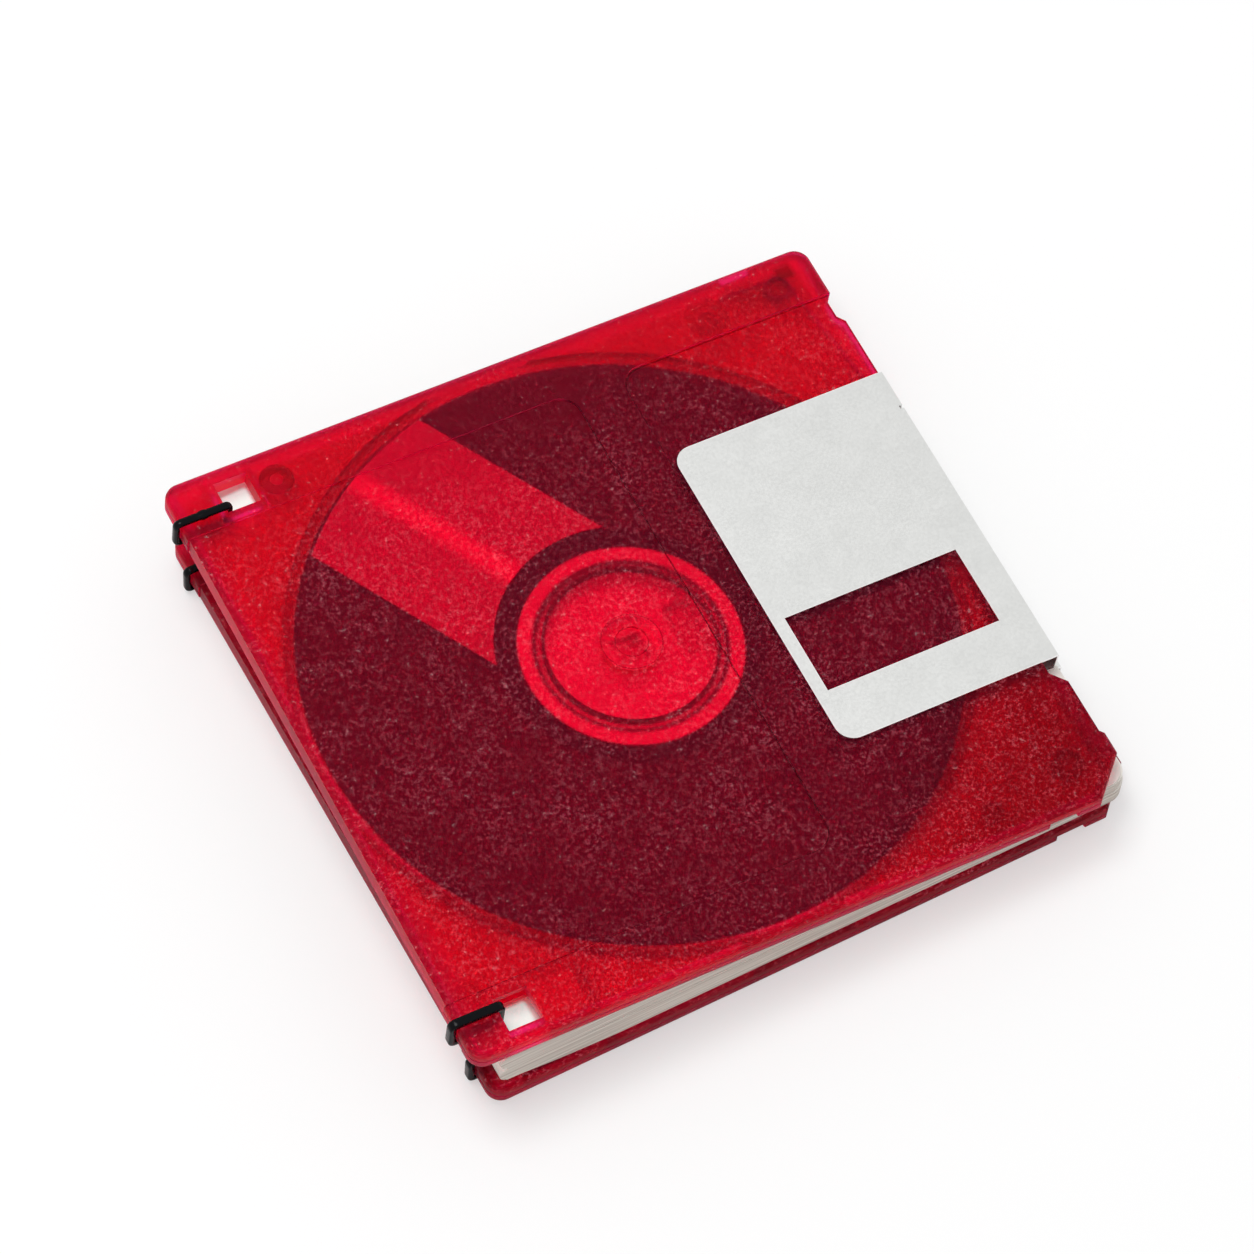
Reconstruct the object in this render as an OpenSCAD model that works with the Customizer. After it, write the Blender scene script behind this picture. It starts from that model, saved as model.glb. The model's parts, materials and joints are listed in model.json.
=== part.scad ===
/* [Covers] */
// Length of a cover, from its spine edge to its shutter edge
cover_len = 94; // [92:0.5:97]
// Width of a cover, from its near long edge to its far long edge
cover_wid = 90; // [89:0.5:93]
// Thickness of a cover over both of its shells
cover_t = 3.3; // [3.2:0.1:3.8]
// Thickness of the flat skin of each shell
skin = 0.9; // [0.7:0.05:1]
// Thickness of the wall round the rim
wall = 1.3; // [1:0.1:1.6]
// Radius of the three round corners in plan
corner_r = 2.2; // [1.8:0.1:3]
// Length cut off the fourth corner along each edge
corner_cut = 5.1; // [4:0.1:6]
// Radius of the rounded outer edges
edge_r = 0.75; // [0.4:0.05:0.8]

/* [How the book lies] */
// Angle at which the covers close towards the shutter edge
cover_tilt = 2.7; // [1:0.1:2.8]
// Angle by which the front cover is turned in plan
cover_skew = 1.21; // [0:0.01:1.5]
// Height between the covers at the spine edge
spine_gap = 9.79; // [9.5:0.01:11]
// How far the front cover stands out past the back cover at the spine
spine_shift = 3.25; // [2:0.05:3.5]
// How far the front cover stands out past the near long edge
side_shift = 0.07; // [0:0.01:0.5]

/* [Label recess] */
// Length of the label recess on the front face, from the spine
label_len = 55; // [50:0.5:57]
// Length of the label recess on the back face, from the spine
label_back = 12; // [8:0.5:16]
// Distance of the label recess from each long edge
label_side = 8.4; // [8.2:0.1:12]
// Depth of the label recess
label_depth = 0.25; // [0.15:0.05:0.35]
// Radius of the corners of the label and shutter recesses
recess_r = 3; // [2:0.5:4]

/* [Square holes] */
// Side of the square hole at the far corner
sense_size = 4.6; // [4:0.1:5]
// Distance of the far square hole from the spine edge
sense_x = 6.5; // [6:0.1:7]
// Distance of the far square hole from the far long edge
sense_y = 2.2; // [2:0.1:3]
// Side of the write protect hole at the near corner
protect_size = 4.7; // [4.2:0.1:5]
// Distance of the write protect hole from the spine edge
protect_x = 5.7; // [5.2:0.1:6.5]
// Distance of the write protect hole from the near long edge
protect_y = 2; // [1.9:0.1:2.6]
// Length of the write protect slider
slider_len = 6; // [5.2:0.1:6]
// Travel of the slider, from clear of its hole up to the strap in the hole
slider_travel = 3.6; // [3.4:0.1:4]

/* [Shutter] */
// Length of the shutter, in from the shutter edge
shutter_len = 31.4; // [30:0.1:33]
// Width of the shutter along the shutter edge
shutter_wid = 47.5; // [44:0.5:48]
// Distance of the shutter from the near long edge
shutter_y = 20.5; // [20:0.1:21.5]
// Thickness of the shutter's sheet metal
shutter_t = 0.2; // [0.15:0.01:0.25]
// Travel of the shutter
shutter_travel = 12; // [10:0.5:12]
// Length of the shutter's window
window_len = 25.2; // [23:0.1:26]
// Width of the shutter's window
window_wid = 11.7; // [10:0.1:13]
// Distance of the window from the shutter edge
window_x = 4.4; // [3.5:0.1:5]
// Distance of the window from the near side of the shutter
window_y = 7.7; // [6:0.1:9]
// Length of the head slot in the shells
slot_len = 24; // [20:0.5:24]
// Width of the head slot in the shells
slot_wid = 9; // [8:0.1:9.6]
// Distance of the head slot from the shutter edge
slot_x = 4.8; // [4.6:0.1:6]
// Wire diameter of the shutter spring
wire_d = 0.4; // [0.3:0.05:0.5]

/* [Disk and hub] */
// Space between the magnetic disk and the edges of its cover
disk_margin = 2.1; // [2:0.1:3]
// Thickness of the magnetic disk
disk_t = 0.1; // [0.08:0.01:0.12]
// Distance of the hub's axis from the middle of the cover, towards the spine
hub_shift = 2; // [1.6:0.1:2.2]
// Outer radius of the hub's cup
cup_r = 12.45; // [12:0.05:12.8]
// Width of the hub's flange round the cup
flange_wid = 2.15; // [1.5:0.05:2.6]
// Thickness of the hub's sheet metal
hub_t = 0.25; // [0.2:0.05:0.3]
// Side of the square spindle hole
spindle_size = 4; // [3.5:0.1:4.5]
// Inner radius of the liners
liner_in = 17.3; // [16.5:0.1:19]
// Thickness of the liners
liner_t = 0.2; // [0.15:0.01:0.22]
// Width of the lifter leaf
lifter_wid = 25.2; // [20:0.2:28]
// Direction of the lifter, seen from the hub's axis
lifter_angle = 120.5; // [115:0.5:126]
// Thickness of the lifter leaf
lifter_t = 0.08; // [0.06:0.01:0.1]

/* [Pages] */
// Distance of the pages from the spine edge of the back cover
page_x = 1; // [0.6:0.1:1.2]
// Distance of the pages from the shutter edge of the back cover
page_end = 1.9; // [1.4:0.1:4]
// Distance of the pages from each long edge of the back cover
page_side = 0.55; // [0.4:0.05:2]
// How far each gathering ends short of the one under it
page_creep = 0.35; // [0:0.05:0.6]
// Radius of the two outer corners of the pages
page_corner = 2.6; // [1:0.1:4]

/* [Straps] */
// Width of a strap
strap_w = 1.2; // [0.9:0.1:1.3]
// Thickness of a strap
strap_t = 0.95; // [0.7:0.05:1]
// Distance of the near straps from the near long edge
strap_near = 5.35; // [4.9:0.05:5.5]
// Distance of the far straps from the far long edge
strap_far = 6.05; // [5.4:0.05:6.1]
// Outer radius of a strap's bends
strap_bend = 1.1; // [0.9:0.1:1.3]

/* [Hidden] */
$fn = 96;

// A small overshoot for cuts
over = 1;
// Clearance of a piece that slides on a flat face
slide_gap = 0.05;
// Clearance between the pages and what lies above and below them
page_gap = 0.15;
// The colours of the object
shell_red = [0.76, 0.03, 0.14];
shell_dark = [0.62, 0.02, 0.1];
steel = [0.82, 0.82, 0.8];
film_brown = [0.2, 0.05, 0.05];
felt = [0.85, 0.8, 0.8];
leaf_pink = [0.95, 0.55, 0.55];
paper_cream = [0.95, 0.93, 0.88];
strap_black = [0.05, 0.05, 0.05];

// Heights inside a cover, from its back face
part_z = cover_t / 2;
floor_z = skin;
roof_z = cover_t - skin;
disk_z = floor_z + 0.7;
hub_z = 0.25;
// Gap that the lifter leaves between the upper liner and the roof
lifter_room = 0.2;
// Gap under the shutter's plates
shutter_gap = 0.12;
// Depth of the parting groove between the shells
groove = 0.12;

// The axis of the hub, and the magnetic disk that just fits round it
hub_x = cover_len / 2 - hub_shift;
hub_y = cover_wid / 2;
disk_r = min(hub_x, hub_y) - disk_margin;
// The shutter recess is a little deeper than the sheet
shutter_depth = shutter_t + slide_gap + shutter_gap;
shutter_recess_len = shutter_len + 0.6;
recess_side = 8.2;
// The far square hole's near side, seen from the near long edge
sense_y0 = cover_wid - sense_y - sense_size;
// Frame walls round the square holes, and the gap round the upper shell's tube
frame_wall = 1;
frame_gap = 0.1;
// The far hole is wider in the back face
sense_step = 0.5;
// The slider's flange runs wider than its thumb piece
flange_side = 0.55;
pocket_gap = 0.1;
// The slider as it leaves the hole open, its travel away from the strap, and the end of its guide
strap_room = 0.35;
slider_end_gap = 0.15;
slider_x = protect_x + strap_t + strap_room + slider_travel;
pocket_x1 = slider_x + slider_len + slider_end_gap;

// The shutter edge of the shells, as steps in from the straight edge
edge_step = shutter_t + 2 * slide_gap;
near_step = 0.6;
lever_notch = 2.3;
far_notch = 1.1;
// Where those steps lie along the shutter edge
near_step_y = [8.1, 8.8, 16.8];
lever_y = [shutter_y - 1.7, shutter_y + shutter_travel + 1, shutter_y + shutter_travel + 2];
far_notch_y = [12.9, 11.8, 9.3, 8];
// The cavity stops short of the lever notch
cavity_x1 = cover_len - lever_notch - 1;
// The spring's pocket and the channel for its leg
pocket_deep = 1.6;
channel_x = cover_len - 3.8;
channel_z = 0.45;

// Posts that join the two shells: how far back from the end of the magnetic disk, and how far
// in from the long edges
post_r = 1.3;
post_far_back = 10.9;
post_far_in = 5.3;
post_near_back = 12.4;
post_near_in = 4.4;
post_far = [hub_x + disk_r - post_far_back, cover_wid - post_far_in];
post_near = [hub_x + disk_r - post_near_back, post_near_in];
// The ring post in the corner that is cut off
ring_at = [cover_len - 6.5, 6.3];
ring_out = 2.1;
ring_in = 0.95;
// The locating hole in the back face, and the ring over it on the label side
locate_r = 1.8;
locate_wall = 0.9;
locate_at = [sense_x + sense_size + 3.2, cover_wid - 4.8];
locate_ring_out = 2.25;
locate_ring_in = 0.95;

// The spring's coil
coil_r = 1.6;
coil_turns = 3;
coil_at = [cover_len - 5.8, cover_wid - 4.2];
coil_z = part_z;
tab_y = shutter_y + shutter_wid - 2;
tab_wid = 1;

// Disk clearances
rib_gap = 0.5;
rib_t = 0.9;
liner_out = disk_r - 0.3;
opening_r = cup_r + 0.8;
// The hub's flange
flange_r = cup_r + flange_wid;
// The boss over the hub and the mark in its middle
boss_r = 4;
boss_gap = 0.35;
dimple_r = 2.15;
dimple_deep = 0.12;
// The ring rib on the roof that keeps the hub in the middle
hub_rib_out = cup_r - 0.95;
hub_rib_t = 0.4;
hub_rib_z = disk_z - 0.2;
liner_slot_side = 1.5;

// The grip notches in the long edges
grip_len = 4.4;
grip_back = 7.4;
grip_x = cover_len - corner_cut - grip_back;
grip_deep = 0.8;

// How the book stands: it rests on the straps and on its shutter edge
strap_flat = sense_x + strap_t - strap_bend;
rest_x = cover_len - edge_r;
rest_tilt = atan(strap_t / (rest_x - strap_flat));
rest_lift = rest_x * sin(rest_tilt);
// Height of the front cover's inner face over the floor of the book
front_z = cover_t + spine_gap;

// How far the straps under the pages lift them, against the distance from the spine
page_lift = [[0, 1.9], [4, 1.6], [9.5, 0.75], [18, 0.05], [cover_len, 0]];
// How far the straps over the pages press them down
page_press = [[0, 1.15], [6.2, 1.15], [13, 0.1], [cover_len, 0]];
// Where the section of the pages bends
page_bends = [4, 6.2, 9.5, 13, 18];
page_x1 = cover_len - page_end;
// Shares of the height at which the gatherings and the loose top leaf meet
partings = [0, 0.48, 0.93, 1];
parting_t = 0.12;
parting_xs = [13, 18, cover_len];
// The two folds at the spine, and the depth of the grooves between them
folds_at = [0, 0.5, 1];
fold_depth = 1;
// The strand of a strap through the pages, and its hole
strand_x = 1.75;
strand_t = 0.8;
strand_w = 1;
strand_hole_r = 0.9;
// The ends of the book, which set its middle
function turned_z(p, a) = [p[0] * cos(a) - p[1] * sin(a), p[0] * sin(a) + p[1] * cos(a), p[2]];
function turned_y(p, a) = [p[0] * cos(a) + p[2] * sin(a), p[1], p[2] * cos(a) - p[0] * sin(a)];
function front_point(p) =
  turned_y(turned_z(p, -cover_skew), cover_tilt) + [-spine_shift, -side_shift, front_z];
function rest_point(p) = turned_y(p, rest_tilt) + [0, 0, rest_lift];
spine_end = rest_point(front_point([-strap_t, strap_near - strap_w / 2, strap_bend - strap_t]));
shutter_end = rest_point([cover_len + slide_gap, shutter_y, cover_t - slide_gap]);
near_end = rest_point(front_point([cover_len - corner_cut, 0, part_z]));
mid_x = (spine_end[0] + shutter_end[0]) / 2;
mid_y = (near_end[1] + cover_wid) / 2;

// A rectangle with round corners, from corner a to corner b
module round_rect(a, b, r) {
  translate([a[0] + r, a[1]]) square([b[0] - a[0] - 2 * r, b[1] - a[1]]);
  translate([a[0], a[1] + r]) square([b[0] - a[0], b[1] - a[1] - 2 * r]);
  for (x = [a[0] + r, b[0] - r], y = [a[1] + r, b[1] - r])
    translate([x, y]) circle(r);
}

// The outline of a cover, drawn in by the inset: three round corners and one cut off
module cover_outline(inset) {
  r = max(corner_r - inset, 0.3);
  cut = corner_cut + inset * (sqrt(2) - 1) - inset;
  difference() {
    round_rect([inset, inset], [cover_len - inset, cover_wid - inset], r);
    translate([cover_len - inset, inset])
      polygon([[-cut - over, -over], [over, -over], [over, cut + over]]);
  }
}

// Half of a cover's outside, from the parting plane to one face, with its edge rounded
module half_block() {
  hull()
    for (a = [0:30:90])
      linear_extrude(cover_t - part_z - edge_r * (1 - sin(a)))
        cover_outline(edge_r * (1 - cos(a)), $fn = 40);
}

// What the shutter edge loses from the straight edge
module shutter_edge_cut() {
  e = cover_len;
  w = cover_wid;
  polygon([
    [e + over, near_step_y[0]], [e, near_step_y[0]], [e - near_step, near_step_y[1]],
    [e - near_step, near_step_y[2]], [e - lever_notch, lever_y[0]],
    [e - lever_notch, lever_y[1]], [e - edge_step, lever_y[2]],
    [e - edge_step, w - far_notch_y[0]], [e - far_notch, w - far_notch_y[1]],
    [e - far_notch, w - far_notch_y[2]], [e, w - far_notch_y[3]], [e + over, w - far_notch_y[3]]
  ]);
}

// The recess that the shutter runs in
module shutter_recess() {
  round_rect([cover_len - shutter_recess_len, recess_side],
             [cover_len + 2 * recess_r, cover_wid - recess_side], recess_r);
}

// The recess for the label, reaching in from the spine
module label_recess(reach) {
  round_rect([-2 * recess_r, label_side], [reach, cover_wid - label_side], recess_r);
}

// The label recess where it wraps over the spine
module label_spine_cut() {
  translate([-over, label_side]) square([over + label_depth, cover_wid - 2 * label_side]);
}

// The slot for the read and write heads
module head_slot() {
  round_rect([cover_len - slot_x - slot_len, hub_y - slot_wid / 2],
             [cover_len - slot_x, hub_y + slot_wid / 2], 0.6);
}

module sense_hole(grow = 0) {
  translate([sense_x - grow, sense_y0 - grow]) square(sense_size + 2 * grow);
}

module protect_hole(grow = 0) {
  translate([protect_x - grow, protect_y - grow]) square(protect_size + 2 * grow);
}

// The slot for the slider's thumb piece, in the back face
module slider_slot(grow = 0) {
  translate([protect_x - grow, protect_y - grow])
    square([pocket_x1 - protect_x + 2 * grow, protect_size + 2 * grow]);
}

// The guide that the slider's flange runs in
module slider_pocket() {
  translate([protect_x, protect_y - flange_side - pocket_gap])
    square([pocket_x1 - protect_x, protect_size + 2 * (flange_side + pocket_gap)]);
}

// The hollow between the shells, with the spring's pocket
module cavity() {
  intersection() {
    cover_outline(wall);
    translate([wall + label_depth, 0]) square([cavity_x1 - wall - label_depth, cover_wid]);
  }
  intersection() {
    cover_outline(wall);
    translate([cavity_x1 - over, cover_wid - far_notch_y[3]])
      square([cover_len - pocket_deep - cavity_x1 + over, far_notch_y[3]]);
  }
}

// A ring in plan
module ring(at, outside, inside) {
  translate(at)
    difference() {
      circle(outside);
      circle(inside);
    }
}

// The rib round the disk's pocket, in both shells
module pocket_rib() {
  intersection() {
    cavity();
    ring([hub_x, hub_y], disk_r + rib_gap + rib_t, disk_r + rib_gap);
  }
}

// The walls of the slider's guide
module slider_frame() {
  intersection() {
    cavity();
    translate([protect_x - frame_wall, 0])
      square([pocket_x1 - protect_x + 2 * frame_wall, protect_y + protect_size + 2 * frame_wall]);
  }
}

module posts(r) {
  for (p = [post_far, post_near]) translate(p) circle(r);
}

// A channel behind the shutter edge, open to it, where the spring's leg reaches the shutter
module leg_channel() {
  translate([channel_x, tab_y - 1.5, part_z - channel_z])
    cube([cover_len - channel_x + over, cover_wid - far_notch_y[3] - tab_y + 1.5 + 0.5,
          2 * channel_z]);
}

// A hairline rebate round the rim, which both shells share at the parting plane
module parting_groove() {
  translate([0, 0, -groove])
    linear_extrude(2 * groove)
      difference() {
        translate([-over, -over]) square([cover_len + 2 * over, cover_wid + 2 * over]);
        cover_outline(groove);
      }
}

// The shell on the label side of a cover
module upper_shell() {
  color(shell_red)
    difference() {
      union() {
        difference() {
          translate([0, 0, part_z]) half_block();
          translate([0, 0, part_z - over]) linear_extrude(roof_z - part_z + over) cavity();
        }
        translate([0, 0, part_z]) linear_extrude(roof_z - part_z + slide_gap) {
          pocket_rib();
          posts(post_r);
          ring(locate_at, locate_ring_out, locate_ring_in);
          ring(ring_at, ring_out, ring_in);
        }
        translate([0, 0, hub_rib_z]) linear_extrude(cover_t - skin / 2 - hub_rib_z)
          ring([hub_x, hub_y], hub_rib_out, hub_rib_out - hub_rib_t);
        // The tube round the far square hole reaches down to the lower shell's floor
        translate([0, 0, floor_z + slide_gap]) linear_extrude(cover_t - skin / 2 - floor_z)
          intersection() {
            cover_outline(edge_r);
            sense_hole(frame_wall);
          }
        translate([hub_x, hub_y, hub_z + hub_t + boss_gap])
          cylinder(r = boss_r, h = cover_t - skin / 2 - hub_z - hub_t - boss_gap);
      }
      translate([0, 0, part_z]) parting_groove();
      translate([0, 0, cover_t - label_depth]) linear_extrude(over) label_recess(label_len);
      translate([0, 0, -over]) linear_extrude(cover_t + 2 * over) {
        label_spine_cut();
        sense_hole();
        protect_hole();
        head_slot();
        shutter_edge_cut();
      }
      translate([0, 0, cover_t - shutter_depth]) linear_extrude(over) shutter_recess();
      leg_channel();
      // The dimple left in the middle by the moulding gate
      translate([hub_x, hub_y, cover_t - label_depth - dimple_deep])
        cylinder(r = dimple_r, h = over);
    }
}

// The shell on the hub side of a cover
module lower_shell() {
  color(shell_dark)
    difference() {
      union() {
        difference() {
          translate([0, 0, part_z]) mirror([0, 0, 1]) half_block();
          translate([0, 0, floor_z]) linear_extrude(part_z) cavity();
        }
        translate([0, 0, floor_z - slide_gap]) linear_extrude(part_z - floor_z + slide_gap) {
          difference() {
            pocket_rib();
            sense_hole(frame_wall + frame_gap);
          }
          posts(post_r);
          translate(locate_at) circle(locate_r + locate_wall);
          ring(ring_at, ring_out, ring_in);
        }
        translate([0, 0, floor_z - slide_gap])
          linear_extrude(roof_z - floor_z) slider_frame();
      }
      translate([0, 0, part_z]) parting_groove();
      translate([0, 0, label_depth - over]) linear_extrude(over) label_recess(label_back);
      // Room for the tube of the upper shell
      translate([0, 0, floor_z]) linear_extrude(cover_t) sense_hole(frame_wall + frame_gap);
      translate([0, 0, -over]) linear_extrude(cover_t + 2 * over) {
        label_spine_cut();
        sense_hole(sense_step);
        slider_slot();
        head_slot();
        shutter_edge_cut();
      }
      translate([0, 0, floor_z]) linear_extrude(cover_t) slider_pocket();
      translate([0, 0, shutter_depth - over]) linear_extrude(over) shutter_recess();
      translate([hub_x, hub_y, -over]) cylinder(r = opening_r, h = cover_t);
      translate([locate_at[0], locate_at[1], -over]) cylinder(r = locate_r, h = cover_t);
      leg_channel();
      for (y = [grip_deep - over, cover_wid - grip_deep])
        translate([grip_x, y, -over]) cube([grip_len, over, cover_t]);
    }
}

// One plate of the shutter, with its window
module shutter_plate() {
  x0 = cover_len - shutter_len;
  y0 = shutter_y;
  difference() {
    round_rect([x0, y0], [cover_len + slide_gap + 4 * recess_r, y0 + shutter_wid], recess_r - 0.5);
    translate([cover_len + slide_gap, 0]) square([6 * recess_r, cover_wid]);
    translate([cover_len - window_x - window_len, y0 + window_y]) square([window_len, window_wid]);
    // A small relief cut at the fold
    translate([cover_len + slide_gap - 0.5, y0 + shutter_wid - 6.2]) square([over, 0.5]);
  }
}

// The sheet metal shutter: one sheet folded round the shutter edge, with a tab for the spring
module shutter() {
  x1 = cover_len + slide_gap;
  color(steel) {
    for (z = [slide_gap, cover_t - slide_gap - shutter_t])
      translate([0, 0, z]) linear_extrude(shutter_t) shutter_plate();
    difference() {
      translate([x1 - shutter_t, shutter_y, slide_gap])
        cube([shutter_t, shutter_wid, cover_t - 2 * slide_gap]);
      translate([x1 - 0.5, shutter_y + shutter_wid - 6.2, cover_t / 2 + 1])
        cube([over, 0.5, over]);
    }
    translate([cover_len - 2.6, tab_y, part_z - shutter_t / 2])
      cube([2.6, tab_wid, shutter_t]);
  }
}

// A straight piece of wire from point a to point b
module wire(a, b) {
  d = b - a;
  translate(a) rotate([0, acos(d[2] / norm(d)), atan2(d[1], d[0])]) cylinder(d = wire_d, h = norm(d));
}

// The torsion spring that closes the shutter
module shutter_spring() {
  pitch = wire_d * 0.9;
  z0 = coil_z - pitch * (coil_turns - 1) / 2;
  leg_end = [cover_len - 1.9, tab_y + tab_wid + wire_d / 2 + slide_gap, coil_z];
  color(steel) {
    for (i = [0:coil_turns - 1])
      translate([coil_at[0], coil_at[1], z0 + i * pitch])
        rotate_extrude() translate([coil_r, 0]) circle(d = wire_d, $fn = 24);
    wire([coil_at[0] + coil_r, coil_at[1], coil_z], leg_end, $fn = 24);
    wire([coil_at[0], coil_at[1] + coil_r, coil_z],
         [coil_at[0] - 8, coil_at[1] + coil_r, coil_z], $fn = 24);
  }
}

// The write protect slider, at the end of its guide that leaves the hole open
module write_protect_slider() {
  top = roof_z - 2 * slide_gap - 0.1;
  color(shell_red)
    difference() {
      union() {
        translate([slider_x, protect_y - flange_side, floor_z + slide_gap])
          cube([slider_len, protect_size + 2 * flange_side, top - floor_z - slide_gap]);
        translate([slider_x + 0.5, protect_y + 0.2, 0.15])
          cube([slider_len - 0.7, protect_size - 0.4, top - 0.15]);
      }
      // The nick that a finger nail pushes on
      translate([slider_x + slider_len / 2 - 0.9, protect_y + 0.9, 0.15 - over])
        cube([1.8, protect_size - 1.8, over + 0.4]);
    }
}

// The magnetic disk
module magnetic_disk() {
  color(film_brown)
    translate([hub_x, hub_y, disk_z])
      difference() {
        cylinder(r = disk_r, h = disk_t);
        translate([0, 0, -over]) cylinder(r = cup_r + 0.15, h = disk_t + 2 * over);
      }
}

// The pressed steel hub: a cup with a flange that lies on the disk
module hub() {
  top = disk_z + disk_t + hub_t;
  color(steel)
    translate([hub_x, hub_y, 0])
      difference() {
        rotate_extrude()
          polygon([
            [0, hub_z], [cup_r - 0.3, hub_z], [cup_r, hub_z + 0.3], [cup_r, top - hub_t],
            [flange_r, top - hub_t], [flange_r, top], [cup_r - 0.1, top],
            [cup_r - hub_t, top - 0.15], [cup_r - hub_t, hub_z + hub_t], [0, hub_z + hub_t]
          ]);
        translate([-spindle_size / 2, -spindle_size / 2, -over]) cube([spindle_size, spindle_size, cover_t]);
        // The slot that the drive pin enters
        translate([6.2, -4, -over]) linear_extrude(cover_t) round_rect([0, 0], [3.8, 8], 1);
      }
}

// The shape of a liner: a ring with a gap for the head slot
module liner_shape() {
  difference() {
    translate([hub_x, hub_y]) circle(liner_out);
    translate([hub_x, hub_y]) circle(liner_in);
    translate([cover_len - slot_x - slot_len - liner_slot_side, hub_y - slot_wid / 2 - liner_slot_side])
      square([cover_len, slot_wid + 2 * liner_slot_side]);
  }
}

module lower_liner() {
  color(felt) translate([0, 0, floor_z + slide_gap]) linear_extrude(liner_t) liner_shape();
}

module upper_liner() {
  color(felt)
    translate([0, 0, roof_z - lifter_room - liner_t]) linear_extrude(liner_t) liner_shape();
}

// The springy leaf over the upper liner: one half lies on the roof, the other bends down
module lifter() {
  half = lifter_wid / 2;
  drop = 0.06;
  color(leaf_pink)
    intersection() {
      translate([hub_x, hub_y, roof_z - slide_gap / 2 - lifter_t])
        rotate([0, 0, lifter_angle])
          rotate([90, 0, 90])
            linear_extrude(liner_out)
              polygon([
                [-half, 0], [-0.5, 0], [0, -drop], [0.5, 0], [half, -drop],
                [half, lifter_t - drop], [0.5, lifter_t], [0, lifter_t - drop], [-0.5, lifter_t],
                [-half, lifter_t]
              ]);
      difference() {
        translate([hub_x, hub_y, 0]) cylinder(r = liner_out - 0.2, h = cover_t);
        translate([hub_x, hub_y, 0]) cylinder(r = liner_in + 0.3, h = cover_t);
      }
    }
}

// A strap looped through a square hole and round the spine edge of a cover
module strap(hole_x, at_y) {
  color(strap_black)
    translate([0, at_y + strap_w / 2, 0])
      rotate([90, 0, 0])
        linear_extrude(strap_w)
          difference() {
            round_rect([-strap_t, -strap_t], [hole_x + strap_t, cover_t + strap_t], strap_bend);
            square([hole_x, cover_t]);
          }
}

// The underside of the front cover, and the pages' own underside and top, seen from the side
function under_front(x) = front_z - (x + spine_shift) * tan(cover_tilt);
function page_bottom(x) = cover_t + page_gap + lookup(x, page_lift);
function page_top(x) = under_front(x) - page_gap - lookup(x, page_press);
function page_level(x, f) = page_bottom(x) + f * (page_top(x) - page_bottom(x));

// The strand of a back strap that rises through the pages to the front strap
module strand(at_y) {
  top = under_front(strand_x + strand_t) - strap_t - page_gap;
  color(strap_black)
    translate([strand_x, at_y - strand_w / 2, cover_t + strap_t / 2])
      cube([strand_t, strand_w, top - cover_t - strap_t / 2]);
}

// One gathering in section, between two shares of the block's height
module gathering(low, high, end_x) {
  first = page_x + fold_depth;
  xs = [first, each page_bends, end_x];
  count = len(xs) - 1;
  polygon([
    for (x = xs) [x, page_level(x, low)],
    for (i = [count:-1:0]) [xs[i], page_level(xs[i], high)]
  ]);
}

// The round folds at the spine in section
module folds() {
  for (i = [0:len(folds_at) - 2]) {
    low = page_level(page_x, folds_at[i]);
    high = page_level(page_x, folds_at[i + 1]);
    r = (high - low) / 2;
    translate([page_x + r, (low + high) / 2]) circle(r - 0.02);
  }
}

// Turns a section, drawn as length and height, into a block across the book
module across() {
  translate([0, cover_wid, 0]) rotate([90, 0, 0]) linear_extrude(cover_wid) children();
}

// The pages' outline in plan, open at the spine
module page_outline(end_x, inset) {
  round_rect([-4 * page_corner, page_side + inset],
             [end_x - inset, cover_wid - page_side - inset], page_corner);
}

module page_block() {
  groove_in = 1.2;
  color(paper_cream)
    difference() {
      union() {
        for (i = [0:len(partings) - 2])
          intersection() {
            across() gathering(partings[i], partings[i + 1], page_x1 - i * page_creep);
            linear_extrude(4 * front_z) page_outline(page_x1 - i * page_creep, 0);
          }
        intersection() {
          across() folds();
          linear_extrude(4 * front_z) page_outline(page_x1, 0);
        }
      }
      // The punched holes that the strands pass
      for (y = [strap_near, cover_wid - strap_far])
        translate([strand_x + strand_t / 2, y, 0]) cylinder(r = strand_hole_r, h = 4 * front_z);
      // The dark lines between gatherings on the open edges
      intersection() {
        across()
          for (i = [1:len(partings) - 2])
            polygon([
              for (x = parting_xs) [x, page_level(x, partings[i]) - parting_t / 2],
              for (x = [parting_xs[2], parting_xs[1], parting_xs[0]])
                [x, page_level(x, partings[i]) + parting_t / 2]
            ]);
        linear_extrude(4 * front_z)
          difference() {
            page_outline(cover_len, -over);
            page_outline(page_x1, groove_in);
          }
      }
    }
}

// Places the back cover, lying as the book rests on its straps and its shutter edge
module back_place() {
  translate([-mid_x, -mid_y, rest_lift]) rotate([0, rest_tilt, 0]) children();
}

// Places the front cover over the pages
module front_place() {
  back_place()
    translate([-spine_shift, -side_shift, front_z])
      rotate([0, cover_tilt, 0]) rotate([0, 0, -cover_skew]) children();
}

far_y = cover_wid - strap_far;

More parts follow.
